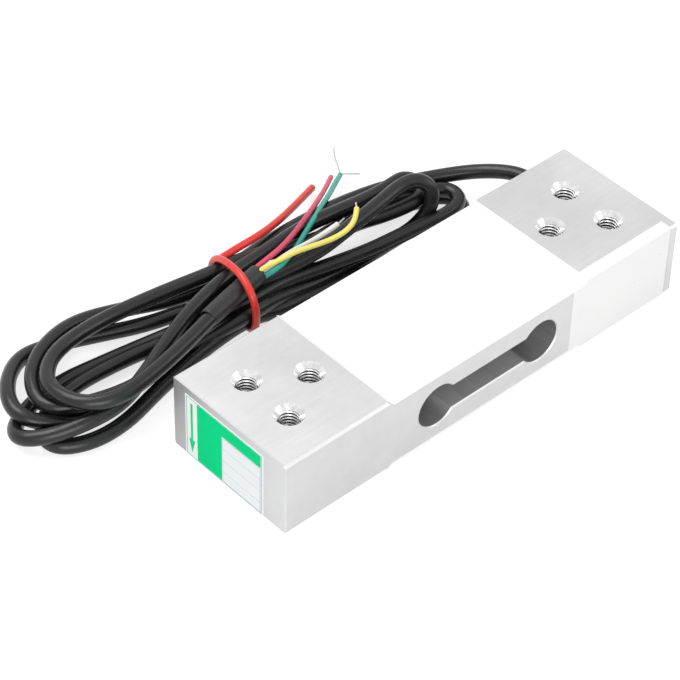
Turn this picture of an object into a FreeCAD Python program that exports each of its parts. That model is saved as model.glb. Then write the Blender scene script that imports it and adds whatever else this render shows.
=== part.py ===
"""Single point load cell: an aluminium bending beam with its gauges, potting, label and tied cable.

Frame: millimetres, +Z up. The origin is the centre of the beam's footprint. +X runs along the beam to
the fixed end, where the cable comes out of the +Y side, and -X is the load end with the label. The beam
stands on its two end blocks at Z = 0.
"""
import FreeCAD
import Part

import math
import os

V = FreeCAD.Vector

# ---------------------------------------------------------------- beam
BEAM_LENGTH = 130.0
BEAM_WIDTH = 40.0
BEAM_HEIGHT = 22.0
LONG_EDGE_CHAMFER = 0.6
END_EDGE_CHAMFER = 0.3

END_BLOCK_LENGTH = 32.0       # full-height block at each end, up to the top of the recess slope
RECESS_DEPTH = 1.5            # gauge recess above and below the slot
RECESS_SLOPE_RUN = 1.5        # length of the sloped step down to the recess floor

BORE_RADIUS = 6.0             # the two flexure bores, which leave the thin measuring webs
BORE_SPACING = 34.2
SLOT_HEIGHT = 7.2             # straight slot that joins the bores
SLOT_RIM_CHAMFER = 0.3

TAP_RADIUS = 2.5              # M6 tapped hole, minor radius
COUNTERSINK_RADIUS = 3.8
TAP_PAIR_SPACING = 15.0
TAP_PAIR_INSET = 12.0         # the pair's distance from the end of the beam
TAP_SINGLE_INSET = 25.0

POCKET_DEPTH = 3.5            # wiring pocket in the -Y side of the fixed end
POCKET_LAP = 3.5              # how far it reaches past the slope, under the recess floor
POCKET_END_WALL = 2.5

# ---------------------------------------------------------------- cable and its bore
CABLE_RADIUS = 2.0
CABLE_INSET = 5.5             # cable axis to the end face of the fixed end
CABLE_BORE_RADIUS = 2.4
SEAL_LENGTH = 4.0
JACKET_STUB = 0.5             # jacket that reaches into the pocket
INNER_CORE_RADIUS = 0.42
INNER_CORE_PITCH = 1.0
INNER_CORE_REACH = 0.8        # from the jacket's end to the cores' turn towards the board

# ---------------------------------------------------------------- gauges, board and potting
GAUGE_LENGTH = 8.0
GAUGE_WIDTH = 5.0
GAUGE_THICKNESS = 0.1
TERMINAL_LENGTH = 6.0
TERMINAL_WIDTH = 4.0
TERMINAL_THICKNESS = 0.2
JUMPER_WIDTH = 0.18           # flat jumpers between the gauges, the terminal strip and the pocket
JUMPER_PITCH = 1.2
JUMPER_COUNT = 4
JUMPER_LIFT = 0.06            # the jumpers float just above the metal in their potting
JUMPER_DROP = 3.0             # length of jumper that hangs in the pocket
POTTING_THICKNESS = 0.4
POTTING_INSET = 0.1           # the pocket's fill stands back from the faces around it

BOARD_LENGTH = 18.0
BOARD_HEIGHT = 14.0
BOARD_THICKNESS = 0.8
BOARD_GAP = 5.0               # from the cable's jacket to the board
CORE_LAP = 3.0                # bare core soldered along the board
RESISTOR_LENGTH = 3.2
RESISTOR_WIDTH = 1.6
RESISTOR_THICKNESS = 0.6
RESISTOR_COUNT = 4

# ---------------------------------------------------------------- label on the load end
LABEL_WIDTH = 27.8
LABEL_HEIGHT = 19.4
LABEL_THICKNESS = 0.1
LABEL_SHIFT = 1.6             # label centre to the beam's middle plane
LABEL_BOTTOM = 0.3

# ---------------------------------------------------------------- free cable, hank, tie and wire ends
# Route of the cable from its bore to the hank, chosen by hand.
LEAD_ROUTE = [
    (59.5, 20.0, 11.0),
    (59.5, 27.4, 11.0),
    (57.3, 34.3, 9.4),
    (53.0, 40.3, 7.8),
    (47.0, 45.0, 6.7),
    (42.0, 47.8, 6.3),
]

HANK_MIDDLE_Y = 44.0
HANK_SPAN = 60.0              # wider than the hank, for the cuts across it
HANK_LOW_TOP = 4.8            # the storeys of loops, one on another
HANK_MIDDLE_TOP = 9.2         # the sleeve and the wires lie on this part of the hank
HANK_TOP_TOP = 12.6
HANK_TIE_GAP = 1.2            # over the tie's wire where it passes under the hank
# Plan of each storey, and of the openings in it.
HANK_LOW = [
    (-96.2, 43), (-91, 55), (-84, 63.5), (-74, 68.5), (-58, 62), (-42, 55.4), (-25, 49.8), (-12, 55.4),
    (2, 58.6), (16, 59), (28, 56.8), (38, 52.6), (47.4, 47.8), (51, 41.6), (45, 34.4), (28, 31.2), (4, 31),
    (-12, 33.4), (-25, 37.2), (-44, 35.4), (-62, 31), (-76, 28.4), (-90, 31.2),
]
HANK_LOW_FAR_GAP = [(-85, 55.5), (-78, 61), (-70, 61), (-56, 56.4), (-48, 53.4), (-62, 55.6), (-76, 56.6)]
HANK_LOW_RIGHT_GAP = [(-2, 41), (10, 43.6), (30, 44.4), (39, 42), (32, 39.4), (18, 36.8), (4, 36.2)]
HANK_MIDDLE = [
    (-94.6, 46), (-90, 57.5), (-80, 64.6), (-62, 67.4), (-46, 63.6), (-36, 58), (-25, 49.8), (-12, 53.2),
    (4, 53.2), (22, 53), (36, 51.4), (44.6, 48.4), (45.6, 39.4), (40, 33.6), (26, 31.2), (6, 32), (-12, 34.4),
    (-25, 37.2), (-44, 35.4), (-60, 32.6), (-74, 28.8), (-92, 33.6),
]
HANK_LEFT_GAP = [
    (-82.5, 46), (-79.5, 52.5), (-70, 56), (-54, 57.4), (-42, 54.5), (-37, 49.5), (-46, 45), (-58, 41.6),
    (-70, 37), (-80, 38.5),
]
HANK_RIGHT_GAP = [(-2, 42.6), (10, 44.4), (26, 42.2), (36.6, 39.6), (28, 37.6), (10, 39.8)]
HANK_TOP = [
    (-66, 60.4), (-79, 57), (-85.2, 48), (-85, 37), (-79.5, 29.6), (-70, 28), (-56, 30.6), (-41.4, 34.6),
    (-42.4, 41), (-30, 44.2), (-8, 47.4), (-8, 51.6), (-30, 48.8), (-42, 45.8), (-52, 42), (-62, 38),
    (-71, 34), (-78, 36.4), (-80.8, 43), (-78, 50.5), (-71, 55.6), (-64, 56.6),
]
ARCH_PLAN = [
    (2, 44.8), (14, 43.4), (24, 44), (33, 44.4), (38.6, 42), (39.8, 37), (36.8, 33.6), (33.2, 35.2),
    (33, 39), (28.6, 39.8), (20, 39.4), (12, 39), (2, 40.4),
]
# Side view of the arch, with the daylight under it.
ARCH_SIDE = [
    (1, HANK_MIDDLE_TOP), (3, 12.2), (12, 13.8), (22, 15.4), (30, 16.2), (36, 15.6), (40.6, 11.4),
    (40.6, HANK_MIDDLE_TOP), (34.6, HANK_MIDDLE_TOP), (33.6, 11), (29, 12.2), (22, 11.4),
    (14, HANK_MIDDLE_TOP),
]

TIE_X = -25.0
TIE_SLANT = 0.22              # the loop runs a little along X as it crosses the hank
TIE_RADIUS = 1.0
TIE_CHANNEL = 10.0            # width of the hank that stands clear of the tie's wire
# Middle of the tie's wire in Y and Z, round the hank's waist and over the sleeve.
TIE_LOOP = [(34.2, 2.6), (38.6, 1.0), (49.4, 1.0), (54.2, 3.4), (54.6, 10.6), (49.6, 15.2),
            (39.8, 16.9), (33.8, 12.6)]
TIE_TAIL = [(-22.8, 54.0, 11.6), (-17.0, 53.6, 12.2), (-8.6, 54.4, 11.2), (0.6, 57.4, 8.8),
            (10.6, 62.2, 5.6), (21.6, 68.0, 1.8)]

SLEEVE_RADIUS = 2.6
SLEEVE_START = (-39.4, 37.8, 12.3)
SLEEVE_END = (-19.4, 42.4, 12.3)

CORD_SIDES = 10               # flat sides of each plain cord solid
CORE_RADIUS = 0.7             # the four insulated wires at the cable's free end
STRAND_RADIUS = 0.35
# Each wire from the sleeve to the end of its insulation, then the tip of its bare strands.
CORE_ROUTES = {
    "red": (
        [(-26.0, 41.6, 12.7), (-20.2, 43.5, 13.1), (-14.9, 43.8, 13.9), (-9.8, 44.6, 14.0), (-3.3, 47.0, 13.6),
         (2.5, 50.0, 12.6), (8.4, 53.4, 11.0), (14.2, 57.2, 8.8), (20.8, 62.1, 5.5), (28.0, 67.7, 2.2)],
        (29.5, 68.9, 1.3)),
    "green": (
        [(-26.0, 40.2, 11.8), (-20.2, 41.2, 11.6), (-13.0, 41.3, 11.5), (-6.0, 43.4, 12.2), (-0.4, 46.2, 12.5),
         (5.0, 49.2, 11.8), (12.0, 53.6, 10.2), (18.6, 58.2, 7.0), (25.2, 63.2, 4.0), (30.9, 67.2, 1.8)],
        (37.6, 76.6, 0.9)),
    "yellow": (
        [(-26.0, 40.6, 13.1), (-20.2, 41.9, 13.8), (-15.2, 40.4, 15.2), (-9.2, 39.4, 16.0), (-4.2, 37.8, 16.2),
         (0.6, 36.6, 16.4), (5.2, 36.4, 16.8), (9.4, 38.0, 17.2), (12.2, 40.8, 17.2)],
        (13.4, 42.4, 17.4)),
    "white": (
        [(-26.0, 41.3, 11.6), (-20.2, 42.9, 11.4), (-14.6, 42.6, 12.4), (-9.4, 42.0, 13.8), (-4.0, 41.0, 14.6),
         (1.2, 40.5, 15.3), (5.6, 40.6, 15.8)],
        (8.2, 41.0, 16.0)),
}


def box(x0, x1, y0, y1, z0, z1):
    return Part.makeBox(x1 - x0, y1 - y0, z1 - z0, V(x0, y0, z0))


def cylinder(radius, start, end):
    axis = V(*end) - V(*start)
    return Part.makeCylinder(radius, axis.Length, V(*start), axis)


def prism(outline, direction):
    """A straight prism over a closed polygon of points."""
    wire = Part.makePolygon([V(*p) for p in outline] + [V(*outline[0])])
    return Part.Face(wire).extrude(V(*direction))


def mirrored_z(shape):
    """The same shape turned over about the beam's middle height."""
    return shape.mirror(V(0, 0, BEAM_HEIGHT / 2), V(0, 0, 1))


# ---------------------------------------------------------------- places shared by the pieces
HALF_LENGTH = BEAM_LENGTH / 2
HALF_WIDTH = BEAM_WIDTH / 2
MID_HEIGHT = BEAM_HEIGHT / 2
BLOCK_FACE = HALF_LENGTH - END_BLOCK_LENGTH
FLOOR_END = BLOCK_FACE - RECESS_SLOPE_RUN
TOP_FLOOR = BEAM_HEIGHT - RECESS_DEPTH
BORE_X = BORE_SPACING / 2
POCKET_START = FLOOR_END - POCKET_LAP
POCKET_END = HALF_LENGTH - POCKET_END_WALL
POCKET_FLOOR = -HALF_WIDTH + POCKET_DEPTH
CABLE_X = HALF_LENGTH - CABLE_INSET
JACKET_END = POCKET_FLOOR - JACKET_STUB
BOARD_END = CABLE_X - CABLE_RADIUS - BOARD_GAP
BOARD_START = BOARD_END - BOARD_LENGTH
BOARD_FACE = POCKET_FLOOR - BOARD_THICKNESS


# ---------------------------------------------------------------- the beam
def recess_outline(extra):
    """Side view of the top recess, raised by extra above the beam's top."""
    return [
        (-BLOCK_FACE, 0, BEAM_HEIGHT),
        (-FLOOR_END, 0, TOP_FLOOR),
        (FLOOR_END, 0, TOP_FLOOR),
        (BLOCK_FACE, 0, BEAM_HEIGHT),
        (BLOCK_FACE, 0, BEAM_HEIGHT + extra),
        (-BLOCK_FACE, 0, BEAM_HEIGHT + extra),
    ]


def across_width(outline):
    """A side-view outline carried across the whole width of the beam."""
    return prism([(x, -HALF_WIDTH, z) for x, _, z in outline], (0, BEAM_WIDTH, 0))


def bar():
    """The bar before milling, with its edges broken."""
    stock = box(-HALF_LENGTH, HALF_LENGTH, -HALF_WIDTH, HALF_WIDTH, 0, BEAM_HEIGHT)
    long_edges = [e for e in stock.Edges if abs(e.BoundBox.XLength - BEAM_LENGTH) < 0.01]
    stock = stock.makeChamfer(LONG_EDGE_CHAMFER, long_edges)
    end_edges = []
    for edge in stock.Edges:
        on_end = edge.BoundBox.XLength < 0.01 and abs(abs(edge.BoundBox.Center.x) - HALF_LENGTH) < 0.01
        if on_end:
            end_edges.append(edge)
    return stock.makeChamfer(END_EDGE_CHAMFER, end_edges)


def flexure_slot():
    """The two bores and the slot between them, with a small chamfer at each mouth."""
    slot = box(-BORE_X, BORE_X, -HALF_WIDTH, HALF_WIDTH, MID_HEIGHT - SLOT_HEIGHT / 2,
               MID_HEIGHT + SLOT_HEIGHT / 2)
    for x in (-BORE_X, BORE_X):
        slot = slot.fuse(cylinder(BORE_RADIUS, (x, -HALF_WIDTH, MID_HEIGHT), (x, HALF_WIDTH, MID_HEIGHT)))
    slot = slot.removeSplitter()
    for side in (-1, 1):
        mouth = side * HALF_WIDTH
        inner = mouth - side * SLOT_RIM_CHAMFER
        rim = prism([(-BORE_X, mouth, MID_HEIGHT - SLOT_HEIGHT / 2 - SLOT_RIM_CHAMFER),
                     (-BORE_X, mouth, MID_HEIGHT + SLOT_HEIGHT / 2 + SLOT_RIM_CHAMFER),
                     (-BORE_X, inner, MID_HEIGHT + SLOT_HEIGHT / 2),
                     (-BORE_X, inner, MID_HEIGHT - SLOT_HEIGHT / 2)], (BORE_SPACING, 0, 0))
        for x in (-BORE_X, BORE_X):
            cone = Part.makeCone(BORE_RADIUS, BORE_RADIUS + SLOT_RIM_CHAMFER, SLOT_RIM_CHAMFER,
                                 V(x, inner, MID_HEIGHT), V(0, side, 0))
            rim = rim.fuse(cone)
        slot = slot.fuse(rim)
    return slot


def tapped_hole_places():
    """Middle of each tapped hole, for both ends."""
    places = []
    for side in (-1, 1):
        pair_x = side * (HALF_LENGTH - TAP_PAIR_INSET)
        places += [(pair_x, -TAP_PAIR_SPACING / 2), (pair_x, TAP_PAIR_SPACING / 2)]
        places.append((side * (HALF_LENGTH - TAP_SINGLE_INSET), 0.0))
    return places


def tapped_hole(x, y):
    """A through hole at its minor radius, countersunk at both faces."""
    sink = COUNTERSINK_RADIUS - TAP_RADIUS
    hole = cylinder(TAP_RADIUS, (x, y, 0), (x, y, BEAM_HEIGHT))
    top = Part.makeCone(TAP_RADIUS, COUNTERSINK_RADIUS, sink, V(x, y, BEAM_HEIGHT - sink))
    bottom = Part.makeCone(COUNTERSINK_RADIUS, TAP_RADIUS, sink, V(x, y, 0))
    return hole.fuse([top, bottom])


def pocket():
    return box(POCKET_START, POCKET_END, -HALF_WIDTH, POCKET_FLOOR, 0, BEAM_HEIGHT)


def beam():
    body = bar()
    recess = across_width(recess_outline(1.0))
    cuts = [recess, mirrored_z(recess), flexure_slot(), pocket()]
    cuts += [tapped_hole(x, y) for x, y in tapped_hole_places()]
    cuts.append(cylinder(CABLE_BORE_RADIUS, (CABLE_X, POCKET_FLOOR, MID_HEIGHT),
                         (CABLE_X, HALF_WIDTH, MID_HEIGHT)))
    return body.cut(cuts).removeSplitter()


# ---------------------------------------------------------------- gauges and their wiring, on the top floor
def gauge(x):
    return box(x - GAUGE_LENGTH / 2, x + GAUGE_LENGTH / 2, -GAUGE_WIDTH / 2, GAUGE_WIDTH / 2, TOP_FLOOR,
               TOP_FLOOR + GAUGE_THICKNESS)


def terminal_strip():
    """The strip midway between the two gauges."""
    return box(-TERMINAL_LENGTH / 2, TERMINAL_LENGTH / 2, -TERMINAL_WIDTH / 2, TERMINAL_WIDTH / 2,
               TOP_FLOOR, TOP_FLOOR + TERMINAL_THICKNESS)


def jumper(points):
    """A square wire of straight runs along the axes."""
    half = JUMPER_WIDTH / 2
    runs = []
    for start, end in zip(points, points[1:]):
        low = [min(a, b) - half for a, b in zip(start, end)]
        high = [max(a, b) + half for a, b in zip(start, end)]
        runs.append(box(low[0], high[0], low[1], high[1], low[2], high[2]))
    return runs[0].fuse(runs[1:]).removeSplitter()


def jumpers():
    """Jumpers from each gauge to the terminal strip, and from the strip over the pocket's edge."""
    half = JUMPER_WIDTH / 2
    lie = TOP_FLOOR + JUMPER_LIFT + half
    wires = []
    for side in (-1, 1):
        gauge_end = side * (BORE_X - GAUGE_LENGTH / 2 - half)
        strip_end = side * (TERMINAL_LENGTH / 2 + half)
        for y in (-JUMPER_PITCH / 2, JUMPER_PITCH / 2):
            wires.append(jumper([(gauge_end, y, lie), (strip_end, y, lie)]))
    edge = POCKET_FLOOR - JUMPER_PITCH
    for i in range(JUMPER_COUNT):
        start_x = (i - (JUMPER_COUNT - 1) / 2) * JUMPER_PITCH
        turn_y = -GAUGE_WIDTH - (JUMPER_COUNT - i) * JUMPER_PITCH / 2
        turn_x = FLOOR_END - JUMPER_PITCH * (JUMPER_COUNT + 1 - i) / 2
        wires.append(jumper([(start_x, -TERMINAL_WIDTH / 2 - half, lie), (start_x, turn_y, lie),
                             (turn_x, turn_y, lie), (turn_x, edge, lie),
                             (turn_x, edge, TOP_FLOOR - JUMPER_DROP)]))
    return wires


# ---------------------------------------------------------------- what the pocket holds
def board():
    return box(BOARD_START, BOARD_END, BOARD_FACE, POCKET_FLOOR, MID_HEIGHT - BOARD_HEIGHT / 2,
               MID_HEIGHT + BOARD_HEIGHT / 2)


def resistors():
    """Trimming resistors in one column on the outer face of the board."""
    parts = []
    pitch = BOARD_HEIGHT / RESISTOR_COUNT
    x = BOARD_START + BOARD_LENGTH / 3
    for i in range(RESISTOR_COUNT):
        z = MID_HEIGHT - BOARD_HEIGHT / 2 + (i + 0.5) * pitch
        parts.append(box(x - RESISTOR_LENGTH / 2, x + RESISTOR_LENGTH / 2, BOARD_FACE - RESISTOR_THICKNESS,
                         BOARD_FACE, z - RESISTOR_WIDTH / 2, z + RESISTOR_WIDTH / 2))
    return parts


def inner_core(index):
    """One core, from the cable's end, round a corner and along the board."""
    z = MID_HEIGHT + (index - 1.5) * INNER_CORE_PITCH
    start = V(CABLE_X, JACKET_END, z)
    corner = V(CABLE_X, JACKET_END - INNER_CORE_REACH, z)
    path = Part.makePolygon([start, corner, V(BOARD_END - CORE_LAP, corner.y, z)])
    section = Part.Wire(Part.makeCircle(INNER_CORE_RADIUS, start, V(0, 1, 0)))
    return path.makePipeShell([section], True, False, 1)


def cable_inner():
    return cylinder(CABLE_RADIUS, (CABLE_X, JACKET_END, MID_HEIGHT), (CABLE_X, HALF_WIDTH, MID_HEIGHT))


def cable_seal():
    start = (CABLE_X, HALF_WIDTH - SEAL_LENGTH, MID_HEIGHT)
    mouth = (CABLE_X, HALF_WIDTH, MID_HEIGHT)
    return cylinder(CABLE_BORE_RADIUS, start, mouth).cut(cylinder(CABLE_RADIUS, start, mouth))


# ---------------------------------------------------------------- potting
def top_potting():
    """A thin layer over the recess floor that laps up both slopes to their top edge."""
    surface = TOP_FLOOR + POTTING_THICKNESS
    outline = [
        (-BLOCK_FACE, 0, BEAM_HEIGHT),
        (-FLOOR_END, 0, TOP_FLOOR),
        (FLOOR_END, 0, TOP_FLOOR),
        (BLOCK_FACE, 0, BEAM_HEIGHT),
        (FLOOR_END, 0, surface),
        (-FLOOR_END, 0, surface),
    ]
    return across_width(outline)


def side_potting():
    """The pocket's fill, between the two recess layers and just back from the faces of the block."""
    fill = box(POCKET_START, POCKET_END, -HALF_WIDTH + POTTING_INSET, POCKET_FLOOR, POTTING_INSET,
               BEAM_HEIGHT - POTTING_INSET)
    recess = across_width(recess_outline(1.0))
    return fill.cut([recess, mirrored_z(recess)])


def rating_label():
    return box(-HALF_LENGTH - LABEL_THICKNESS, -HALF_LENGTH, LABEL_SHIFT - LABEL_WIDTH / 2,
               LABEL_SHIFT + LABEL_WIDTH / 2, LABEL_BOTTOM, LABEL_BOTTOM + LABEL_HEIGHT)


# ---------------------------------------------------------------- cords
def rounded_route(name, points, closed=False):
    """Straight runs joined by tangent arcs, each as large as its two runs allow."""
    corners = [V(*p) for p in points]
    if closed:
        start = (corners[-1] + corners[0]) / 2
        corners = [start] + corners + [start]
    edges = []
    last = corners[0]
    radii = []
    length = 0.0
    for before, corner, after in zip(corners, corners[1:], corners[2:]):
        into = (corner - before).normalize()
        out = (after - corner).normalize()
        half_turn = into.getAngle(out) / 2
        reach = 0.45 * min((corner - before).Length, (after - corner).Length)
        radius = reach / math.tan(half_turn)
        arc_start = corner - into * reach
        arc_end = corner + out * reach
        inward = (out - into).normalize()
        arc_middle = corner + inward * (radius / math.cos(half_turn) - radius)
        edges.append(Part.LineSegment(last, arc_start).toShape())
        edges.append(Part.Arc(arc_start, arc_middle, arc_end).toShape())
        length += (arc_start - last).Length + radius * 2 * half_turn
        radii.append(round(radius, 1))
        last = arc_end
    edges.append(Part.LineSegment(last, corners[-1]).toShape())
    length += (corners[-1] - last).Length
    print(name, "length", round(length, 1), "radii", radii)
    return Part.Wire(edges), length


def ring(centre, direction, radius):
    """The section of a plain cord: a closed polygon across the direction."""
    side = direction.cross(V(0, 0, 1)).normalize()
    up = side.cross(direction).normalize()
    corners = []
    for i in range(CORD_SIDES + 1):
        angle = 2 * math.pi * i / CORD_SIDES
        corners.append(centre + side * (radius * math.cos(angle)) + up * (radius * math.sin(angle)))
    return Part.makePolygon(corners)


def tube(name, points, radius, closed=False):
    """A cord along a route; its volume is printed beside its section times its length."""
    path, length = rounded_route(name, points, closed)
    first = path.OrderedEdges[0]
    section = ring(first.valueAt(first.FirstParameter), first.tangentAt(first.FirstParameter), radius)
    solid = path.makePipeShell([section], True, False)
    expected = Part.Face(section).Area * length
    print(name, "volume", round(solid.Volume, 2), "section x length", round(expected, 2))
    return solid


def rounded_outline(name, points, height):
    """A closed plan of straight runs and tangent arcs, raised to a height."""
    wire, _ = rounded_route(name, [(x, y, 0.0) for x, y in points], closed=True)
    return Part.Face(wire).extrude(V(0, 0, height))


def tier(name, points, openings, low, high):
    """One storey of the hank: a rounded plan with openings, between two heights."""
    solid = rounded_outline(name, points, high - low)
    for opening in openings:
        solid = solid.cut(rounded_outline(name + " opening", opening, high - low))
    solid.translate(V(0, 0, low))
    return solid


def hank():
    """The tied hank as one solid, in storeys that follow how its loops pile up.

    The lowest loops lie on the floor. The next ones and the passes through the tie lie on those. On top
    are the last loop on the left, which ends in the sleeve, and the arch that stands up on the right.
    """
    low = tier("hank low", HANK_LOW, [HANK_LOW_FAR_GAP, HANK_LOW_RIGHT_GAP], 0.0, HANK_LOW_TOP)
    middle = tier("hank middle", HANK_MIDDLE, [HANK_LEFT_GAP, HANK_RIGHT_GAP],
                  HANK_LOW_TOP, HANK_MIDDLE_TOP)
    top = tier("hank top", HANK_TOP, [], HANK_MIDDLE_TOP, HANK_TOP_TOP)
    start = HANK_MIDDLE_Y - HANK_SPAN / 2
    across = (0, HANK_SPAN, 0)
    side_view = prism([(x, start, z) for x, z in ARCH_SIDE], across)
    arch = rounded_outline("hank arch", ARCH_PLAN, max(z for _, z in ARCH_SIDE)).common(side_view)
    half = TIE_CHANNEL / 2
    over_tie = 2 * TIE_RADIUS + HANK_TIE_GAP
    channel = prism([(TIE_X - half - over_tie, start, 0), (TIE_X - half, start, over_tie),
                     (TIE_X + half, start, over_tie), (TIE_X + half + over_tie, start, 0)], across)
    return low.fuse([middle, top, arch]).cut(channel).removeSplitter()


def end_sleeve():
    return cylinder(SLEEVE_RADIUS, SLEEVE_START, SLEEVE_END)


def wire_tie():
    """The tie: a loop of coated wire round the hank's waist, with one free tail on the far side."""
    loop = [(TIE_X + TIE_SLANT * (y - HANK_MIDDLE_Y), y, z) for y, z in TIE_LOOP]
    return tube("tie loop", loop, TIE_RADIUS, closed=True).fuse(tube("tie tail", TIE_TAIL, TIE_RADIUS))


def main():
    os.makedirs("parts", exist_ok=True)
    nodes = {}
    nodes["beam"] = beam()
    sealed = {
        "strain_gauge_{}_1": gauge(-BORE_X),
        "strain_gauge_{}_2": gauge(BORE_X),
        "terminal_strip_{}": terminal_strip(),
        "bridge_wires_{}": Part.Compound(jumpers()),
    }
    layer = top_potting().cut(list(sealed.values()))
    for name, shape in list(sealed.items()) + [("{}_potting", layer)]:
        nodes[name.format("top")] = shape
        nodes[name.format("bottom")] = mirrored_z(shape)
    nodes["compensation_board"] = board()
    nodes["trimming_resistors"] = Part.Compound(resistors())
    nodes["cable_inner"] = cable_inner()
    nodes["cable_seal"] = cable_seal()
    for index, colour in enumerate(CORE_ROUTES):
        nodes["inner_core_" + colour] = inner_core(index)
    buried = [nodes[n] for n in nodes if n.startswith(("inner_core", "bridge_wires"))]
    buried += [nodes["compensation_board"], nodes["trimming_resistors"], nodes["cable_inner"]]
    nodes["side_potting"] = side_potting().cut(buried)
    nodes["rating_label"] = rating_label()

    coil = hank()
    nodes["cable_hank"] = coil
    nodes["cable_lead"] = tube("cable_lead", LEAD_ROUTE, CABLE_RADIUS).cut(coil)
    nodes["end_sleeve"] = end_sleeve()
    nodes["wire_tie"] = wire_tie()
    for colour, (route, tip) in CORE_ROUTES.items():
        core = tube("core_" + colour, route, CORE_RADIUS).cut(nodes["end_sleeve"])
        nodes["core_" + colour] = core
        nodes["strands_" + colour] = tube("strands_" + colour, [route[-1], tip], STRAND_RADIUS).cut(core)

    for name, shape in nodes.items():
        print(name, "solids", len(shape.Solids), "valid", shape.isValid(), "volume", round(shape.Volume, 2))
        shape.exportStep("parts/" + name + ".step")


main()
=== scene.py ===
import math

import bpy
from mathutils import Matrix, Vector, noise


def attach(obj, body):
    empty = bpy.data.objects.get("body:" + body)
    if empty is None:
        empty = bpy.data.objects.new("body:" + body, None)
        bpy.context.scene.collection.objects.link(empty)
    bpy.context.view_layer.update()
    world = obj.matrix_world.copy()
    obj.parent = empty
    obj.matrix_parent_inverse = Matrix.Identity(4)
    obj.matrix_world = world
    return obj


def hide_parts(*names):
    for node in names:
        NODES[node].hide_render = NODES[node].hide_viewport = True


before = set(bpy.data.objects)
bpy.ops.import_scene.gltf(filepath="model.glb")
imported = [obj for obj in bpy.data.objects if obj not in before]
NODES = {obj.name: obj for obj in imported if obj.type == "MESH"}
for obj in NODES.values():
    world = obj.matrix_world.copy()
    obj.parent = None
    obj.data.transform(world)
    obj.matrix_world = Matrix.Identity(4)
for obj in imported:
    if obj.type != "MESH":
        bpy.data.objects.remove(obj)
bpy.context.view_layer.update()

MM = 0.001


# ---------------------------------------------------------------- camera
CAMERA_PLACE = (-353.90, -344.25, 462.98)   # millimetres
CAMERA_TURN = (46.80, 42.75, 1.58)          # heading, dip and roll in degrees
CAMERA_SENSOR = 36.0
CAMERA_LENS = 145.38
CAMERA_CLIP = (0.05, 20.0)


def make_camera():
    heading, dip, roll = (math.radians(a) for a in CAMERA_TURN)
    ahead = Vector((math.cos(dip) * math.cos(heading), math.cos(dip) * math.sin(heading), -math.sin(dip)))
    right = ahead.cross(Vector((0, 0, 1))).normalized()
    up = right.cross(ahead)
    across = math.cos(roll) * right + math.sin(roll) * up
    upward = -math.sin(roll) * right + math.cos(roll) * up
    data = bpy.data.cameras.new("camera")
    data.sensor_width = CAMERA_SENSOR
    data.lens = CAMERA_LENS
    data.clip_start, data.clip_end = CAMERA_CLIP
    camera = bpy.data.objects.new("camera", data)
    bpy.context.scene.collection.objects.link(camera)
    turn = Matrix((across, upward, -ahead)).transposed().to_4x4()
    camera.matrix_world = Matrix.Translation(Vector(CAMERA_PLACE) * MM) @ turn
    bpy.context.scene.camera = camera


make_camera()


# ---------------------------------------------------------------- helpers
def link(obj):
    bpy.context.scene.collection.objects.link(obj)
    return obj


def mesh_object(name, verts, faces, smooth=True):
    """A mesh piece from vertices in millimetres."""
    mesh = bpy.data.meshes.new(name)
    mesh.from_pydata([tuple(Vector(v) * MM) for v in verts], [], faces)
    mesh.validate()
    mesh.polygons.foreach_set("use_smooth", [smooth] * len(mesh.polygons))
    mesh.update()
    return link(bpy.data.objects.new(name, mesh))


def cord_curve(name, points, radius, sides=6, steps=6):
    """A round cord on one open NURBS spline, with its points in millimetres."""
    data = bpy.data.curves.new(name, "CURVE")
    data.dimensions = "3D"
    spline = data.splines.new("NURBS")
    spline.points.add(len(points) - 1)
    for knot, (x, y, z) in zip(spline.points, points):
        knot.co = (x * MM, y * MM, z * MM, 1.0)
    spline.order_u = 3
    spline.use_endpoint_u = True
    spline.resolution_u = steps
    data.bevel_depth = radius * MM
    data.bevel_resolution = sides
    data.use_fill_caps = True
    return link(bpy.data.objects.new(name, data))


def line_of(curve):
    """Points along a cord's own spline, read from the curve with no bevel, in millimetres."""
    copy = curve.data.copy()
    copy.bevel_depth = 0.0
    probe = bpy.data.objects.new("probe", copy)
    link(probe)
    graph = bpy.context.evaluated_depsgraph_get()
    mesh = bpy.data.meshes.new_from_object(probe.evaluated_get(graph))
    points = [v.co / MM for v in mesh.vertices]
    bpy.data.objects.remove(probe)
    bpy.data.curves.remove(copy)
    bpy.data.meshes.remove(mesh)
    return points


def length_of(points):
    return sum((b - a).length for a, b in zip(points, points[1:]))


def paint(obj, material):
    obj.data.materials.clear()
    obj.data.materials.append(material)


def dress(obj, material):
    """Gives a new piece its material and puts it on the only body."""
    paint(obj, material)
    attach(obj, "root")


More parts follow.
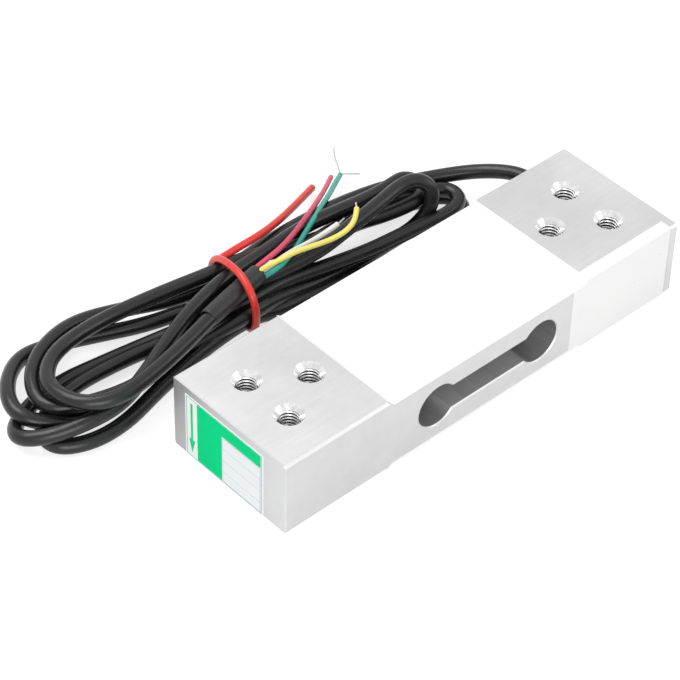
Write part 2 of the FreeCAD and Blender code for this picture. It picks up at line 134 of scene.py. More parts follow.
# ---------------------------------------------------------------- materials
class Paint:
    """A Principled material with a few node shortcuts."""

    def __init__(self, name, colour, roughness, metallic=0.0, specular=0.5):
        self.material = bpy.data.materials.new(name)
        self.material.use_nodes = True
        self.tree = self.material.node_tree
        self.shader = self.tree.nodes["Principled BSDF"]
        self.set("Base Color", (*colour, 1.0))
        self.set("Roughness", roughness)
        self.set("Metallic", metallic)
        self.set("Specular IOR Level", specular)
        self.place = self.add("ShaderNodeTexCoord").outputs["Object"]

    def set(self, socket, value):
        self.shader.inputs[socket].default_value = value

    def add(self, kind):
        return self.tree.nodes.new(kind)

    def join(self, source, target):
        self.tree.links.new(source, target)

    def along(self, axis):
        """The place along one axis, in metres."""
        node = self.add("ShaderNodeSeparateXYZ")
        self.join(self.place, node.inputs[0])
        return node.outputs[axis]

    def stretched(self, scale):
        """Object coordinates stretched by a factor on each axis."""
        node = self.add("ShaderNodeMapping")
        node.inputs["Scale"].default_value = scale
        self.join(self.place, node.inputs["Vector"])
        return node.outputs["Vector"]

    def noise(self, scale, detail=3.0, rough=0.55, stretch=(1, 1, 1)):
        node = self.add("ShaderNodeTexNoise")
        node.inputs["Scale"].default_value = scale
        node.inputs["Detail"].default_value = detail
        node.inputs["Roughness"].default_value = rough
        self.join(self.stretched(stretch), node.inputs["Vector"])
        return node.outputs["Fac"]

    def span(self, value, low, high, new_low=0.0, new_high=1.0):
        """A value from low to high, spread from new_low to new_high."""
        node = self.add("ShaderNodeMapRange")
        self.join(value, node.inputs["Value"])
        node.inputs["From Min"].default_value = low
        node.inputs["From Max"].default_value = high
        node.inputs["To Min"].default_value = new_low
        node.inputs["To Max"].default_value = new_high
        return node.outputs["Result"]

    def even(self, noise_value, new_low=0.0, new_high=1.0):
        """A noise's usual reach, which is 0.3 to 0.7, spread from new_low to new_high."""
        return self.span(noise_value, 0.3, 0.7, new_low, new_high)

    def math(self, operation, a, b):
        """One sum of two values, each a number or an output."""
        node = self.add("ShaderNodeMath")
        node.operation = operation
        for slot, value in zip(node.inputs, (a, b)):
            if isinstance(value, (int, float)):
                slot.default_value = value
            else:
                self.join(value, slot)
        return node.outputs[0]

    def blend(self, factor, first, second):
        """A colour between two others, each a colour or an output."""
        node = self.add("ShaderNodeMix")
        node.data_type = "RGBA"
        self.join(factor, node.inputs[0])
        for slot, value in ((node.inputs[6], first), (node.inputs[7], second)):
            if isinstance(value, tuple):
                slot.default_value = (*value[:3], 1.0)
            else:
                self.join(value, slot)
        return node.outputs[2]

    def base(self, output):
        self.join(output, self.shader.inputs["Base Color"])

    def rough(self, output):
        self.join(output, self.shader.inputs["Roughness"])

    def bump(self, height, strength, distance):
        node = self.add("ShaderNodeBump")
        node.inputs["Strength"].default_value = strength
        node.inputs["Distance"].default_value = distance
        self.join(height, node.inputs["Height"])
        self.join(node.outputs["Normal"], self.shader.inputs["Normal"])


def milled_aluminium(name, dark, light):
    """Milled metal between two tones. The top and the sides each get their own copy, and the sides' pair is set
    for the light on them: painted light.
    """
    p = Paint(name, dark, 0.42, metallic=0.85)
    mottle = p.noise(260, 4, 0.6)
    cloud = p.noise(28, 2, 0.5)
    streak = p.noise(1, 3, 0.6, (60, 1400, 60))
    tone = p.math("ADD", p.even(mottle, -0.012, 0.012), p.even(cloud, -0.02, 0.02))
    tone = p.math("ADD", tone, p.even(streak, -0.012, 0.012))
    p.base(p.blend(p.span(tone, -0.05, 0.05), dark, light))
    p.rough(p.even(cloud, 0.36, 0.48))
    p.bump(p.math("ADD", streak, mottle), 0.05, 0.0001)
    return p.material


def end_metal_painted_reflection():
    """The load end's face, with painted shade: darker than the top's metal, and darker still towards the +Y
    edge, where it mirrors less of the lamps, which is painted reflection.
    """
    p = Paint("end_metal_painted_reflection", (0.5, 0.5, 0.5), 0.45, metallic=0.85)
    mottle = p.noise(260, 4, 0.6)
    cloud = p.noise(28, 2, 0.5)
    # Painted reflection: the tone falls across the face in Y.
    across = p.span(p.along("Y"), 0.020, -0.020)
    tone = p.math("ADD", across, p.even(mottle, -0.06, 0.06))
    tone = p.math("ADD", tone, p.even(cloud, -0.06, 0.06))
    p.base(p.blend(tone, (0.40, 0.40, 0.405), (0.62, 0.62, 0.62)))
    p.bump(mottle, 0.05, 0.0001)
    return p.material


def slot_shade_material():
    """The slot's walls with their milling lines, painted darker than the beam for the shade in the slot, and
    painted darker still in the two bores at its ends.
    """
    p = Paint("slot_walls_painted_shade", (0.5, 0.5, 0.5), 0.5, metallic=0.4)
    lines = p.noise(1, 2, 0.5, (500, 60, 500))
    # Painted shade: deeper in the bores at the slot's ends.
    bore_shade = p.span(p.math("ABSOLUTE", p.along("X"), 0.0), 0.0125, 0.0145)
    tone = p.math("ADD", p.even(lines, 0.0, 0.06), p.math("MULTIPLY", bore_shade, -0.14))
    p.base(p.blend(p.span(tone, -0.2, 0.1), (0.19, 0.19, 0.193), (0.50, 0.50, 0.505)))
    p.bump(lines, 0.02, 0.0001)
    return p.material


def thread_aluminium():
    p = Paint("cut_thread", (0.78, 0.78, 0.78), 0.28, metallic=0.9)
    grain = p.noise(900, 3, 0.6)
    p.rough(p.even(grain, 0.22, 0.38))
    p.bump(grain, 0.1, 0.0001)
    return p.material


def countersink_aluminium():
    p = Paint("countersink", (0.80, 0.80, 0.80), 0.16, metallic=1.0)
    grain = p.noise(500, 2, 0.5)
    p.base(p.blend(p.even(grain), (0.66, 0.66, 0.66), (0.88, 0.88, 0.88)))
    p.bump(grain, 0.25, 0.0002)
    return p.material


def hole_wall_painted_shade():
    """The walls between the threads' crests, which get little light, painted near black: painted shade."""
    p = Paint("hole_wall_painted_shade", (0.05, 0.05, 0.052), 0.6, metallic=0.4)
    grain = p.noise(700, 2, 0.5)
    p.base(p.blend(p.even(grain), (0.03, 0.03, 0.032), (0.08, 0.08, 0.082)))
    return p.material


def white_silicone():
    """Poured silicone: a soft uneven skin with a few grey specks."""
    p = Paint("white_silicone", (0.92, 0.92, 0.92), 0.5, specular=0.4)
    cloud = p.noise(35, 3, 0.5)
    fine = p.noise(420, 3, 0.6)
    specks = p.span(p.noise(900, 1, 0.3), 0.80, 0.83)
    p.base(p.blend(specks, p.blend(p.even(cloud), (0.90, 0.90, 0.90), (0.95, 0.95, 0.945)),
                   (0.45, 0.44, 0.42)))
    p.rough(p.even(cloud, 0.42, 0.58))
    p.bump(p.math("ADD", p.math("MULTIPLY", cloud, 3.0), fine), 0.12, 0.0002)
    p.set("Subsurface Weight", 0.05)
    p.set("Subsurface Radius", (0.002, 0.002, 0.002))
    return p.material


def plastic(name, colour, roughness, speck=0.12, grain=500, bump=0.06, specular=0.5):
    """Extruded plastic: a little uneven in colour, gloss and surface."""
    p = Paint(name, colour, roughness, specular=specular)
    cloud = p.noise(60, 3, 0.55)
    fine = p.noise(grain, 3, 0.6)
    dark = tuple(c * (1 - speck) for c in colour)
    light = tuple(min(1.0, c * (1 + speck)) for c in colour)
    p.base(p.blend(p.even(cloud), dark, light))
    p.rough(p.even(fine, roughness - 0.07, roughness + 0.07))
    p.bump(fine, bump, 0.0001)
    return p.material


def bright_metal(name, colour, roughness):
    p = Paint(name, colour, roughness, metallic=1.0)
    fine = p.noise(1500, 2, 0.5)
    p.rough(p.even(fine, roughness - 0.08, roughness + 0.08))
    p.bump(fine, 0.1, 0.0001)
    return p.material


ALUMINIUM = milled_aluminium("milled_aluminium", (0.55, 0.55, 0.56), (0.68, 0.68, 0.68))
# The sides' copy carries painted light: its tones are set for how the lamps fall on the sides.
SIDE_METAL_PAINTED_LIGHT = milled_aluminium("side_metal_painted_light", (0.56, 0.56, 0.565), (0.68, 0.68, 0.68))
# The load end's metal carries painted shade and a painted reflection across it.
END_METAL = end_metal_painted_reflection()
# The slot's walls are painted shade.
SLOT_SHADE = slot_shade_material()
THREAD = thread_aluminium()
# The tapped holes' walls are painted shade, near black.
HOLE_SHADE = hole_wall_painted_shade()
SINK = countersink_aluminium()
SILICONE = white_silicone()
SHEATH = plastic("black_sheath", (0.010, 0.0103, 0.0108), 0.29, speck=0.2, specular=0.42)
SLEEVE = plastic("shrink_sleeve", (0.012, 0.012, 0.0135), 0.46, speck=0.2, grain=700)
RED_COAT = plastic("red_coat", (0.72, 0.035, 0.025), 0.32)
INSULATION = {
    "red": plastic("crimson_insulation", (0.62, 0.06, 0.13), 0.4),
    "green": plastic("green_insulation", (0.03, 0.36, 0.27), 0.4),
    "yellow": plastic("yellow_insulation", (0.80, 0.70, 0.16), 0.4),
    "white": plastic("white_insulation", (0.75, 0.75, 0.74), 0.4),
}
TINNED = bright_metal("tinned_strands", (0.55, 0.55, 0.56), 0.35)
COPPER = bright_metal("copper_strands", (0.75, 0.42, 0.30), 0.35)
AMBER = plastic("gauge_film", (0.62, 0.38, 0.10), 0.35)
BOARD = plastic("board_green", (0.03, 0.22, 0.09), 0.4)
GLAZE = plastic("resistor_glaze", (0.10, 0.25, 0.45), 0.3)
LABEL_WHITE = plastic("label_white", (0.97, 0.97, 0.97), 0.6, speck=0.01, bump=0.02, specular=0.15)
LABEL_PANEL = plastic("label_panel", (0.92, 0.95, 0.985), 0.6, speck=0.02, bump=0.02, specular=0.15)
LABEL_GREEN = plastic("label_green", (0.001, 0.72, 0.27), 0.6, speck=0.04, bump=0.02, specular=0.05)
LABEL_EDGE = plastic("label_edge", (0.03, 0.42, 0.24), 0.6, speck=0.05, bump=0.02, specular=0.05)
LABEL_LINE = plastic("label_line", (0.50, 0.55, 0.57), 0.6, speck=0.05, bump=0.02, specular=0.1)

# ---------------------------------------------------------------- the cable and its hank
CABLE_RADIUS = 2.0
WIRE_RADIUS = 0.7
STRAND_RADIUS = 0.22
TIE_RADIUS = 1.0
TIE_CORE_RADIUS = 0.45
TIE_X = -26.0

# From the beam's side to the hank, and along the hank's far side into the tie. All routes are in millimetres.
LEAD = [(59.5, 20.0, 11.0), (59.5, 27.4, 11.0), (57.3, 34.3, 9.4), (53.0, 40.3, 7.8), (47.0, 45.0, 6.7),
        (42.0, 47.8, 6.3)]
RUN_IN = [(36.0, 50.6, 6.2), (26.0, 53.4, 6.2), (14.0, 55.2, 6.0), (0.0, 55.6, 6.0), (-13.0, 54.8, 5.6)]

# The loops in the order that the cable runs through them, left and right of the tie by turns, from one
# pass of the tie to the next.
LOOPS = [
    # left, second from the top: out on the far side, back on the near side
    [(-36.0, 56.2, 3.8), (-47.0, 61.0, 4.2), (-60.0, 64.2, 5.6), (-70.6, 61.6, 7.0), (-78.6, 57.0, 7.2),
     (-83.4, 51.0, 6.9), (-84.8, 45.0, 6.4), (-81.0, 40.4, 6.4), (-71.0, 36.7, 6.6), (-61.0, 36.9, 5.0),
     (-50.0, 38.0, 6.3), (-38.0, 42.2, 8.2)],
    # right, the arch that stands up off the others, and back low along the near side
    [(-12.0, 42.0, 9.2), (0.0, 40.4, 10.6), (10.0, 40.8, 12.4), (20.0, 41.2, 13.9), (28.6, 42.3, 14.8),
     (32.8, 41.0, 15.5), (35.4, 38.7, 14.0), (35.6, 37.0, 10.9), (34.4, 36.9, 7.6), (32.6, 37.6, 4.6),
     (29.6, 38.2, 2.5), (25.0, 38.4, 2.0), (17.0, 38.2, 2.0), (6.0, 38.2, 2.1), (-4.2, 38.2, 2.6),
     (-15.0, 38.6, 4.6)],
    # left, the widest: out on the near side, back on the far side
    [(-36.0, 38.6, 5.2), (-46.0, 40.6, 3.0), (-56.0, 40.0, 2.0), (-66.0, 38.8, 2.0), (-79.0, 37.8, 2.7),
     (-87.0, 41.6, 4.4), (-90.8, 46.6, 5.8), (-89.6, 52.6, 6.2), (-84.0, 60.0, 4.8), (-76.0, 65.2, 3.2),
     (-66.0, 63.6, 2.2), (-56.0, 59.4, 2.2), (-46.0, 54.8, 2.4), (-36.0, 51.6, 3.2)],
    # right, the lowest, along the floor
    [(-12.0, 48.6, 3.0), (4.0, 51.0, 2.2), (16.0, 51.8, 2.0), (25.0, 50.6, 2.0), (32.6, 47.8, 2.0),
     (39.0, 45.2, 2.0), (44.4, 43.6, 2.0), (47.2, 39.8, 2.0), (46.0, 35.4, 2.0), (40.4, 32.6, 2.0),
     (28.0, 32.6, 2.0), (14.0, 33.2, 2.0), (0.0, 34.6, 2.0), (-10.4, 36.2, 2.3), (-18.0, 36.6, 3.0)],
    # left, nearest
    [(-42.0, 37.8, 3.0), (-58.0, 34.8, 2.0), (-70.0, 31.2, 2.0), (-80.0, 31.0, 2.0), (-88.0, 34.6, 2.0),
     (-89.0, 40.4, 2.0), (-84.0, 45.8, 2.2), (-74.0, 48.8, 2.6), (-62.0, 48.2, 3.0), (-50.0, 46.8, 2.9),
     (-38.0, 44.4, 2.2)],
    # right, over the lowest one, and back above the arch's return
    [(-12.0, 45.0, 5.0), (2.0, 46.4, 5.4), (14.0, 47.2, 5.6), (24.0, 48.0, 5.7), (32.6, 46.4, 5.7),
     (38.4, 43.8, 5.7), (43.4, 42.8, 5.7), (45.6, 39.2, 5.7), (44.0, 35.2, 5.6), (38.0, 33.6, 5.7),
     (30.0, 34.6, 5.9), (22.4, 35.2, 6.0), (12.9, 36.0, 6.0), (4.0, 37.8, 6.0), (-4.3, 39.7, 6.0),
     (-12.6, 41.2, 6.4)],
    # left, low at its end and over the others on its way back
    [(-38.0, 45.8, 3.8), (-50.0, 49.2, 2.2), (-62.0, 51.1, 2.0), (-74.0, 52.6, 2.0), (-84.0, 51.2, 2.0),
     (-92.0, 47.5, 2.1), (-94.5, 42.0, 3.8), (-90.0, 36.7, 5.4), (-82.0, 32.8, 7.4), (-72.0, 31.8, 8.0),
     (-62.0, 35.2, 8.4), (-52.0, 39.4, 9.8), (-40.0, 44.0, 11.0)],
    # right, along the far side on top, with its fold under the arch
    [(-10.0, 49.0, 10.6), (4.0, 50.6, 10.0), (14.5, 49.6, 9.6), (22.0, 48.4, 9.7), (27.6, 47.7, 10.2),
     (31.8, 47.9, 10.4), (35.0, 47.9, 10.4), (37.2, 45.8, 9.9), (37.2, 43.0, 9.2), (35.0, 41.0, 8.5),
     (31.6, 40.9, 8.0), (24.0, 42.6, 7.4), (17.0, 44.4, 7.7), (8.0, 45.2, 8.4), (-3.0, 46.6, 9.2),
     (-15.0, 50.8, 10.0)],
    # left, on top, which ends in the sleeve
    [(-36.0, 55.4, 8.4), (-50.0, 58.2, 7.5), (-63.0, 58.2, 8.0), (-74.0, 55.4, 9.0), (-81.0, 48.8, 10.0),
     (-82.4, 42.0, 10.8), (-80.2, 34.6, 11.5), (-73.0, 30.5, 11.9), (-62.0, 31.7, 12.1), (-50.0, 34.3, 12.3)],
]
# The cable's passes through the tie in the same order: the place across the hank and the height.
PASSES = [(53.4, 4.8), (44.8, 8.8), (36.5, 7.5), (46.7, 4.0), (38.5, 4.0), (42.6, 3.4), (40.6, 6.8),
          (47.4, 11.4), (52.8, 9.2)]
SLEEVE_END = [(-34.0, 39.0, 12.3), (-22.0, 41.8, 12.3)]


def cable_points():
    """The whole cable's points, from the beam to the sleeve."""
    points = LEAD + RUN_IN
    for at_tie, loop in zip(PASSES, LOOPS):
        points = points + [(TIE_X, *at_tie)] + loop
    return points + SLEEVE_END


cable = cord_curve("cable", cable_points(), CABLE_RADIUS)
dress(cable, SHEATH)
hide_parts("cable_lead", "cable_hank")

# ---------------------------------------------------------------- stripped wires, sleeve and tie
WIRES = {
    "red": [(-26.0, 41.6, 12.7), (-20.2, 43.5, 13.1), (-14.9, 43.8, 13.9), (-9.8, 44.6, 14.0),
            (-3.3, 47.0, 13.6), (2.5, 50.0, 12.6), (8.4, 53.4, 11.0), (14.2, 57.2, 8.8), (20.8, 62.1, 5.5),
            (28.0, 67.7, 2.2)],
    "green": [(-26.0, 40.2, 11.8), (-20.2, 41.2, 11.6), (-13.0, 41.3, 11.5), (-6.0, 43.4, 12.2),
              (-0.4, 46.2, 12.5), (5.0, 49.2, 11.8), (12.0, 53.6, 10.2), (18.6, 58.2, 7.0),
              (25.2, 63.2, 4.0), (30.9, 67.2, 1.8)],
    "yellow": [(-26.0, 40.6, 13.1), (-20.2, 41.9, 13.8), (-15.2, 40.4, 15.2), (-9.2, 39.4, 16.0),
               (-4.2, 37.8, 16.2), (0.6, 36.6, 16.4), (5.2, 36.4, 16.8), (9.4, 38.0, 17.2),
               (12.2, 40.8, 17.2)],
    "white": [(-26.0, 41.3, 11.6), (-20.2, 42.9, 11.4), (-14.6, 42.6, 12.4), (-9.4, 42.0, 13.8),
              (-4.0, 41.0, 14.6), (1.2, 40.5, 15.3), (5.6, 40.6, 15.8)],
}
# Each wire's bare strands. The first set of each stands for the CAD strands.
STRANDS = {
    "red": [[(28.0, 67.7, 2.2), (29.5, 68.9, 1.3)]],
    "green": [[(30.9, 67.2, 1.8), (33.2, 70.4, 1.2), (35.0, 74.0, 1.0), (37.8, 77.4, 0.8)],
              [(30.9, 67.2, 1.8), (32.4, 67.4, 1.2), (34.0, 66.4, 0.9), (36.0, 65.0, 0.7)]],
    "yellow": [[(12.2, 40.8, 17.2), (13.4, 42.4, 17.4)]],
    "white": [[(5.6, 40.6, 15.8), (8.2, 41.0, 16.0)]],
}


wires = {}
for colour, route in WIRES.items():
    wire = cord_curve("wire_" + colour, route, WIRE_RADIUS, sides=4, steps=8)
    dress(wire, INSULATION[colour])
    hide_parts("core_" + colour)
    wires[colour] = wire
    for i, hair in enumerate(STRANDS[colour]):
        strand = cord_curve(f"strand_{colour}_{i}", hair, STRAND_RADIUS, sides=2)
        dress(strand, TINNED)
    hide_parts("strands_" + colour)

SLEEVE_FROM = Vector((-39.4, 37.8, 12.3))
SLEEVE_TO = Vector((-19.4, 42.4, 12.3))
SLEEVE_SIDES = 48
SLEEVE_WAVE = 0.07      # how far its wall is uneven, between its two ends
SLEEVE_RAGGED = 0.18    # how far its cut end is uneven


def shrink_sleeve():
    """Heat-shrink sleeve as a tube: drawn down on the cable at its start, open and a little wavy at its end."""
    axis = (SLEEVE_TO - SLEEVE_FROM).normalized()
    side = axis.cross(Vector((0, 0, 1))).normalized()
    top = side.cross(axis)
    whole = (SLEEVE_TO - SLEEVE_FROM).length
    # distance along the axis and radius, from the drawn-down start over the outside and back in
    profile = [(0.0, 2.02), (0.0, 2.3), (0.25, 2.42), (1.0, 2.46), (3.0, 2.52), (6.0, 2.56), (9.0, 2.58),
               (12.0, 2.6), (15.0, 2.6), (17.5, 2.6), (19.6, 2.58), (whole - 0.15, 2.6), (whole, 2.5),
               (whole, 2.3), (whole - 0.3, 2.24), (whole - 4.5, 2.2)]
    verts, faces = [], []
    for i, (along, radius) in enumerate(profile):
        for j in range(SLEEVE_SIDES):
            angle = 2 * math.pi * j / SLEEVE_SIDES
            wave = noise.noise(Vector((along * 0.25, 2 * math.cos(angle), 2 * math.sin(angle))))
            reach = radius + (SLEEVE_WAVE * wave if 2 < i < 12 else 0.0)
            out = math.cos(angle) * side + math.sin(angle) * top
            ragged = SLEEVE_RAGGED * noise.noise(Vector((5.0, 3 * math.cos(angle), 3 * math.sin(angle))))
            place = along + (ragged if i > 10 else 0.0)
            verts.append(SLEEVE_FROM + place * axis + reach * out)
    for i in range(len(profile) - 1):
        here, there = i * SLEEVE_SIDES, (i + 1) * SLEEVE_SIDES
        for j in range(SLEEVE_SIDES):
            k = (j + 1) % SLEEVE_SIDES
            faces.append((here + j, here + k, there + k, there + j))
    return mesh_object("end_sleeve_tube", verts, faces)


sleeve = shrink_sleeve()
dress(sleeve, SLEEVE)
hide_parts("end_sleeve")

# The tie runs under the hank, up its far side, over it and down its near side. Its tail lies beside it.
TIE_ROUTE = [(-26.6, 41.0, 1.1), (-24.2, 50.4, 1.1), (-22.8, 55.2, 2.4), (-22.4, 57.0, 6.2),
             (-22.8, 55.2, 10.8), (-23.6, 51.6, 13.6), (-24.8, 46.4, 15.6), (-25.8, 41.2, 16.4),
             (-26.8, 36.6, 14.9), (-27.2, 34.2, 11.6), (-27.2, 33.8, 7.0), (-27.0, 35.0, 2.6),
             (-26.0, 39.0, 1.1)]
TIE_TAIL = [(-22.8, 54.0, 10.9), (-17.0, 53.8, 11.6), (-8.6, 54.4, 11.0), (0.6, 57.4, 8.8),
            (10.6, 62.2, 5.6), (21.6, 68.0, 1.8)]
TIE_CUT = [(21.0, 67.68, 1.98), (21.72, 68.06, 1.76)]
tie = cord_curve("tie_loop", TIE_ROUTE, TIE_RADIUS)
tail = cord_curve("tie_tail", TIE_TAIL, TIE_RADIUS)
tie_core = cord_curve("tie_core", TIE_CUT, TIE_CORE_RADIUS, sides=3, steps=2)
dress(tie, RED_COAT)
dress(tail, RED_COAT)
dress(tie_core, TINNED)
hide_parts("wire_tie")

# ---------------------------------------------------------------- the cords' lengths, worked out and not kept
length_of(line_of(cable)) * MM
for colour, wire in wires.items():
    length_of(line_of(wire)) * MM

# ---------------------------------------------------------------- carried-over metal, potting and hidden pieces
NODE_PAINT = {
    "beam": ALUMINIUM, "top_potting": SILICONE, "bottom_potting": SILICONE, "side_potting": SILICONE,
    "strain_gauge_top_1": AMBER, "strain_gauge_top_2": AMBER,
    "strain_gauge_bottom_1": AMBER, "strain_gauge_bottom_2": AMBER,
    "terminal_strip_top": BOARD, "terminal_strip_bottom": BOARD, "compensation_board": BOARD,
    "bridge_wires_top": COPPER, "bridge_wires_bottom": COPPER, "trimming_resistors": GLAZE,
    "cable_inner": SHEATH, "cable_seal": SHEATH,
    "inner_core_red": INSULATION["red"], "inner_core_green": INSULATION["green"],
    "inner_core_yellow": INSULATION["yellow"], "inner_core_white": INSULATION["white"],
    "rating_label": LABEL_WHITE,
}
for name, material in NODE_PAINT.items():
    paint(NODES[name], material)

# ---------------------------------------------------------------- print on the label and threads in the holes
LABEL_FACE = -65.1      # X of the label's face
SUNK = 0.02             # how far a field starts inside the label, so that no gap shows
PRINT_OUTER = (-11.75, 0.55, 15.05, 19.35)   # low and high corners in Y and Z
PRINT_PANEL = (-11.3, 0.8, 2.0, 15.05)
RULE_HEIGHTS = (4.0, 7.75, 11.5)
RULE_HALF = 0.06
ARROW_Y = 13.15
ARROW = [(-0.4, 17.9), (0.4, 17.9), (0.4, 6.2), (1.1, 6.2), (0.0, 1.8), (-1.1, 6.2), (-0.4, 6.2)]


def fields(name, material, rectangles, lift):
    """Thin rectangles on the label, each from its low corner to its high corner in Y and Z.

    The lift is how far they stand off the label's face.
    """
    verts, faces = [], []
    for y0, z0, y1, z1 in rectangles:
        start = len(verts)
        for x in (LABEL_FACE + SUNK, LABEL_FACE - lift):
            verts += [(x, y0, z0), (x, y1, z0), (x, y1, z1), (x, y0, z1)]
        faces.append(tuple(start + i for i in (4, 7, 6, 5)))
        for i in range(4):
            j = (i + 1) % 4
            faces.append((start + i, start + 4 + i, start + 4 + j, start + j))
    dress(mesh_object(name, verts, faces, smooth=False), material)


def frame_lines(y0, z0, y1, z1, width):
    """The four lines of a frame, as rectangles inside its corners."""
    return [(y0, z0, y1, z0 + width), (y0, z1 - width, y1, z1), (y0, z0 + width, y0 + width, z1 - width),
            (y1 - width, z0 + width, y1, z1 - width)]


fields("label_outline", LABEL_EDGE, frame_lines(*PRINT_OUTER, 0.16), 0.01)
fields("label_green", LABEL_GREEN, [(-11.4, 15.3, 11.2, 19.1), (2.3, 0.8, 11.2, 15.3)], 0.02)
fields("label_panel", LABEL_PANEL, [PRINT_PANEL], 0.02)
RULES = [(PRINT_PANEL[0], z - RULE_HALF, PRINT_PANEL[2], z + RULE_HALF) for z in RULE_HEIGHTS]
fields("label_rules", LABEL_LINE, RULES + frame_lines(*PRINT_PANEL, 0.1), 0.03)


def load_arrow():
    """The arrow that points down, in the load's direction: its shaft and its head."""
    verts = [(LABEL_FACE - 0.02, ARROW_Y + y, z) for y, z in ARROW]
    obj = mesh_object("label_arrow", verts, [(0, 1, 2, 6), (3, 4, 5)], smooth=False)
    dress(obj, LABEL_GREEN)


load_arrow()


# The thread's pitch is 1 mm. Its ridge starts just inside the hole's wall, which has a radius of 2.5 mm.
TAPPED = [(side * x, y) for side in (-1, 1) for x, y in ((53.0, -7.5), (53.0, 7.5), (40.0, 0.0))]
THREAD_LOW, THREAD_HIGH = 1.2, 20.85
THREAD_ROOT = 2.53
THREAD_CREST = 2.25
THREAD_SECTION = [(THREAD_ROOT, -0.27), (THREAD_CREST, -0.06), (THREAD_CREST, 0.06), (THREAD_ROOT, 0.27)]
THREAD_STEPS = 24       # steps in one turn


def thread_ridge(name, x, y):
    """The crests of a metric thread, wound up the wall of one tapped hole, and faded in over a quarter turn."""
    verts, faces = [], []
    count = int((THREAD_HIGH - THREAD_LOW) * THREAD_STEPS)
    for i in range(count + 1):
        angle = 2 * math.pi * i / THREAD_STEPS
        fade = min(1.0, 4 * i / THREAD_STEPS, 4 * (count - i) / THREAD_STEPS)
        for radius, rise in THREAD_SECTION:
            reach = THREAD_ROOT - (THREAD_ROOT - radius) * fade
            height = THREAD_LOW + i / THREAD_STEPS + rise
            verts.append((x + reach * math.cos(angle), y + reach * math.sin(angle), height))
    for i in range(count):
        for j in range(3):
            k = 4 * i + j
            faces.append((k, k + 4, k + 5, k + 1))
    dress(mesh_object(name, verts, faces), THREAD)


for i, (x, y) in enumerate(TAPPED):
    thread_ridge(f"thread_{i}", x, y)

# Each kind of face on the beam has its own material: the sides carry painted light, the load end painted shade
# and reflection, and the slot and the hole walls painted shade. The first, for the top and the rest, is there
# already.
beam = NODES["beam"]
for material in (SIDE_METAL_PAINTED_LIGHT, END_METAL, SLOT_SHADE, HOLE_SHADE, SINK):
    beam.data.materials.append(material)
SIDE, LOAD_END, SLOT, HOLE_WALL, COUNTERSINK = range(1, 6)
for face in beam.data.polygons:
    x, y, z = face.center / MM
    normal = face.normal
    from_hole = min(math.hypot(x - hx, y - hy) for hx, hy in TAPPED)
    if from_hole < 2.6 and abs(normal.z) < 0.2:
        face.material_index = HOLE_WALL
    elif from_hole < 3.7 and 0.4 < abs(normal.z) < 0.9:
        face.material_index = COUNTERSINK
    elif abs(y) < 19.5 and abs(x) < 24 and 3.5 < z < 18.5:
        face.material_index = SLOT
    elif normal.x < -0.9 and x < -64:
        face.material_index = LOAD_END
    elif abs(normal.y) > 0.9:
        face.material_index = SIDE

# ---------------------------------------------------------------- floor, light and background
FLOOR_REACH = 6000.0
FLOOR_HEIGHT = -0.05
FLOOR_GLOW = 0.72
SKY_STRENGTH = 0.55
WHITE = (1, 1, 1, 1)


def seen_ray(tree):
    """1 for a ray from the camera, a mirror or glass, and 0 for one that lights the object."""
    path = tree.nodes.new("ShaderNodeLightPath")
    seen = path.outputs["Is Camera Ray"]
    for kind in ("Is Glossy Ray", "Is Transmission Ray"):
        node = tree.nodes.new("ShaderNodeMath")
        node.operation = "MAXIMUM"
        tree.links.new(seen, node.inputs[0])
        tree.links.new(path.outputs[kind], node.inputs[1])
        seen = node.outputs[0]
    return seen


def choose_shader(tree, unseen, seen, output):
    """Joins one shader for the rays that are seen and another for the rest to an output."""
    pick = tree.nodes.new("ShaderNodeMixShader")
    tree.links.new(seen_ray(tree), pick.inputs[0])
    tree.links.new(unseen, pick.inputs[1])
    tree.links.new(seen, pick.inputs[2])
    tree.links.new(pick.outputs[0], output)


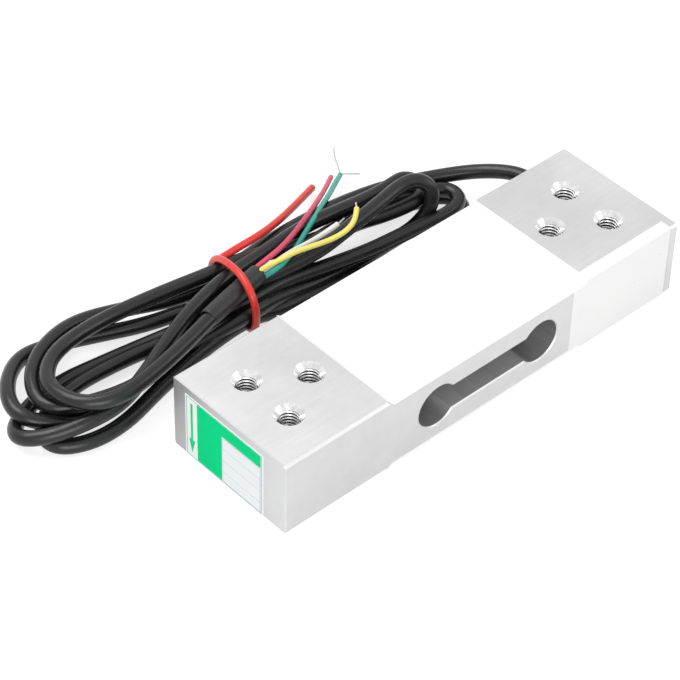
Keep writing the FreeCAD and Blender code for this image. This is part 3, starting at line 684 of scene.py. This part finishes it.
def floor_material():
    """White where it is seen or mirrored, and a plain matt surface for the object's shadow."""
    p = Paint("floor_white", (0.45, 0.45, 0.45), 0.9, specular=0.1)
    glow = p.add("ShaderNodeEmission")
    glow.inputs["Color"].default_value = WHITE
    glow.inputs["Strength"].default_value = FLOOR_GLOW
    both = p.add("ShaderNodeAddShader")
    p.join(p.shader.outputs[0], both.inputs[0])
    p.join(glow.outputs[0], both.inputs[1])
    choose_shader(p.tree, p.shader.outputs[0], both.outputs[0], p.tree.nodes["Material Output"].inputs[0])
    return p.material


corners = [(x * FLOOR_REACH, y * FLOOR_REACH, FLOOR_HEIGHT) for x, y in ((-1, -1), (1, -1), (1, 1), (-1, 1))]
floor = mesh_object("floor", corners, [(0, 1, 2, 3)], smooth=False)
paint(floor, floor_material())


def studio_world():
    """Soft light from all round, behind which the camera and mirrors see plain white."""
    world = bpy.data.worlds.new("studio")
    bpy.context.scene.world = world
    world.use_nodes = True
    tree = world.node_tree
    sky = tree.nodes["Background"]
    sky.inputs["Color"].default_value = WHITE
    sky.inputs["Strength"].default_value = SKY_STRENGTH
    white = tree.nodes.new("ShaderNodeBackground")
    white.inputs["Color"].default_value = WHITE
    white.inputs["Strength"].default_value = 1.0
    choose_shader(tree, sky.outputs[0], white.outputs[0], tree.nodes["World Output"].inputs["Surface"])


studio_world()


def softbox(name, place, aim, size, power):
    """A rectangular lamp at a place, turned to its aim. Metres and watts."""
    data = bpy.data.lights.new(name, "AREA")
    data.shape = "RECTANGLE"
    data.size, data.size_y = size
    data.energy = power
    lamp = link(bpy.data.objects.new(name, data))
    spot = Vector(place)
    turn = (Vector(aim) - spot).to_track_quat("-Z", "Y").to_matrix().to_4x4()
    lamp.matrix_world = Matrix.Translation(spot) @ turn


softbox("key", (-0.25, 0.55, 1.1), (0, 0.02, 0.0), (0.9, 0.7), 9.0)
softbox("fill", (0.9, -0.9, 0.7), (0, 0, 0.0), (0.8, 0.8), 3.0)
softbox("front", (-0.75, -0.95, 0.5), (0, 0, 0.0), (1.0, 0.8), 9.0)

bpy.context.scene.view_settings.view_transform = "Standard"
